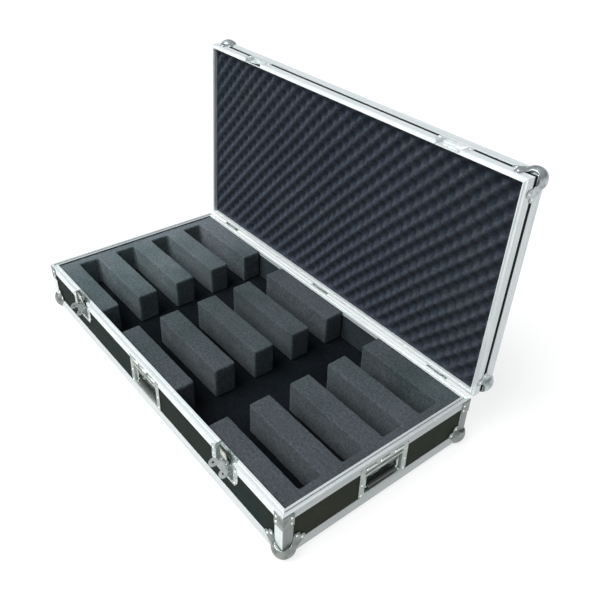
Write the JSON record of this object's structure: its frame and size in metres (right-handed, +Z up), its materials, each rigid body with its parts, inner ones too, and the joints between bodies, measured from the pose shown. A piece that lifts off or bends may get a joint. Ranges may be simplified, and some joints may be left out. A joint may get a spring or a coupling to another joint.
{
  "type": "flight case",
  "caption": "Aluminium-edged flight case with a hinged lid, recessed butterfly latches, sprung handles, a slotted foam insert and convoluted lid foam, shown open.",
  "frame": {"origin": "centre of the floor panel's underside", "axes": "+X along the case to the right as seen from the front, +Y from the front with the latches to the back with the hinges, +Z up"},
  "size_m": [1.16, 0.6943, 0.7133],
  "materials": {
    "black_laminate": "satin",
    "aluminium_extrusion": "satin",
    "zinc_steel": "satin",
    "cast_alloy": "satin",
    "grip_rubber": "matte",
    "slate_foam": "matte",
    "charcoal_foam": "matte"
  },
  "bodies": {
    "base": {"base_floor_panel": "black_laminate", "base_front_panel": "black_laminate", "base_back_panel": "black_laminate", "base_left_panel": "black_laminate", "base_right_panel": "black_laminate", "base_rim_front": "aluminium_extrusion", "base_rim_back": "aluminium_extrusion", "base_rim_left": "aluminium_extrusion", "base_rim_right": "aluminium_extrusion", "base_bottom_edge_front": "aluminium_extrusion", "base_bottom_edge_back": "aluminium_extrusion", "base_bottom_edge_left": "aluminium_extrusion", "base_bottom_edge_right": "aluminium_extrusion", "base_corner_angle_front_left": "aluminium_extrusion", "base_corner_angle_front_right": "aluminium_extrusion", "base_corner_angle_back_left": "aluminium_extrusion", "base_corner_angle_back_right": "aluminium_extrusion", "base_ball_corner_front_left": "zinc_steel", "base_ball_corner_front_right": "zinc_steel", "base_ball_corner_back_left": "zinc_steel", "base_ball_corner_back_right": "zinc_steel", "handle_dish_front": "zinc_steel", "handle_dish_left": "zinc_steel", "handle_dish_right": "zinc_steel", "latch_dish_left": "cast_alloy", "latch_dish_right": "cast_alloy", "hinge_base_leaf_left": "zinc_steel", "hinge_base_leaf_middle": "zinc_steel", "hinge_base_leaf_right": "zinc_steel", "foam_floor": "slate_foam", "foam_comb_left": "slate_foam", "foam_comb_right": "slate_foam", "foam_block_1": "slate_foam", "foam_block_2": "slate_foam", "foam_block_3": "slate_foam", "foam_block_4": "slate_foam", "foam_block_5": "slate_foam"},
    "lid": {"lid_top_panel": "black_laminate", "lid_side_walls": "black_laminate", "lid_rim": "aluminium_extrusion", "lid_edge_frame": "aluminium_extrusion", "lid_ball_corner_front_left": "zinc_steel", "lid_ball_corner_front_right": "zinc_steel", "lid_ball_corner_back_left": "zinc_steel", "lid_ball_corner_back_right": "zinc_steel", "latch_catch_left": "cast_alloy", "latch_catch_right": "cast_alloy", "hinge_lid_leaf_left": "zinc_steel", "hinge_lid_leaf_middle": "zinc_steel", "hinge_lid_leaf_right": "zinc_steel", "lid_convoluted_foam": "charcoal_foam"},
    "front_handle": {"carry_handle_front": "grip_rubber"},
    "left_handle": {"carry_handle_left": "grip_rubber"},
    "right_handle": {"carry_handle_right": "grip_rubber"},
    "left_spindle": {"latch_spindle_left": "cast_alloy"},
    "right_spindle": {"latch_spindle_right": "cast_alloy"},
    "left_wing": {"latch_wing_left": "cast_alloy"},
    "right_wing": {"latch_wing_right": "cast_alloy"},
    "left_hook": {"latch_hook_left": "cast_alloy"},
    "right_hook": {"latch_hook_right": "cast_alloy"}
  },
  "joints": [
    {"name": "lid_hinge", "type": "hinge", "parent": "base", "child": "lid", "pos_m": [0, 0.2858, 0.1262], "axis": [1, 0, 0], "range_deg": [0, 92.3]},
    {"name": "front_handle_swing", "type": "hinge", "parent": "base", "child": "front_handle", "pos_m": [0, -0.2745, 0.0827], "axis": [-1, 0, 0], "range_deg": [0, 90], "stiffness_Nm_per_rad": 0.25, "springref_deg": -22.92},
    {"name": "left_handle_swing", "type": "hinge", "parent": "base", "child": "left_handle", "pos_m": [-0.5625, 0, 0.0827], "axis": [0, 1, 0], "range_deg": [0, 90], "stiffness_Nm_per_rad": 0.25, "springref_deg": -22.92},
    {"name": "right_handle_swing", "type": "hinge", "parent": "base", "child": "right_handle", "pos_m": [0.5625, 0, 0.0827], "axis": [0, -1, 0], "range_deg": [0, 90], "stiffness_Nm_per_rad": 0.25, "springref_deg": -22.92},
    {"name": "left_latch_twist", "type": "hinge", "parent": "base", "child": "left_spindle", "pos_m": [-0.361, -0.2747, 0.1022], "axis": [0, -1, 0], "range_deg": [0, 180]},
    {"name": "right_latch_twist", "type": "hinge", "parent": "base", "child": "right_spindle", "pos_m": [0.361, -0.2747, 0.1022], "axis": [0, -1, 0], "range_deg": [0, 180]},
    {"name": "left_wing_fold", "type": "hinge", "parent": "left_spindle", "child": "left_wing", "pos_m": [-0.361, -0.2814, 0.1022], "axis": [-1, 0, 0], "range_deg": [-65, 25]},
    {"name": "right_wing_fold", "type": "hinge", "parent": "right_spindle", "child": "right_wing", "pos_m": [0.361, -0.2814, 0.1022], "axis": [-1, 0, 0], "range_deg": [-65, 25]},
    {"name": "left_hook_tilt", "type": "hinge", "parent": "base", "child": "left_hook", "pos_m": [-0.361, -0.2747, 0.1022], "axis": [-1, 0, 0], "range_deg": [0, 8]},
    {"name": "right_hook_tilt", "type": "hinge", "parent": "base", "child": "right_hook", "pos_m": [0.361, -0.2747, 0.1022], "axis": [-1, 0, 0], "range_deg": [0, 8]}
  ],
  "couplings": [
    {"joint": "left_hook_tilt", "follows": "left_latch_twist", "ratio": 0.0444},
    {"joint": "right_hook_tilt", "follows": "right_latch_twist", "ratio": 0.0444}
  ]
}
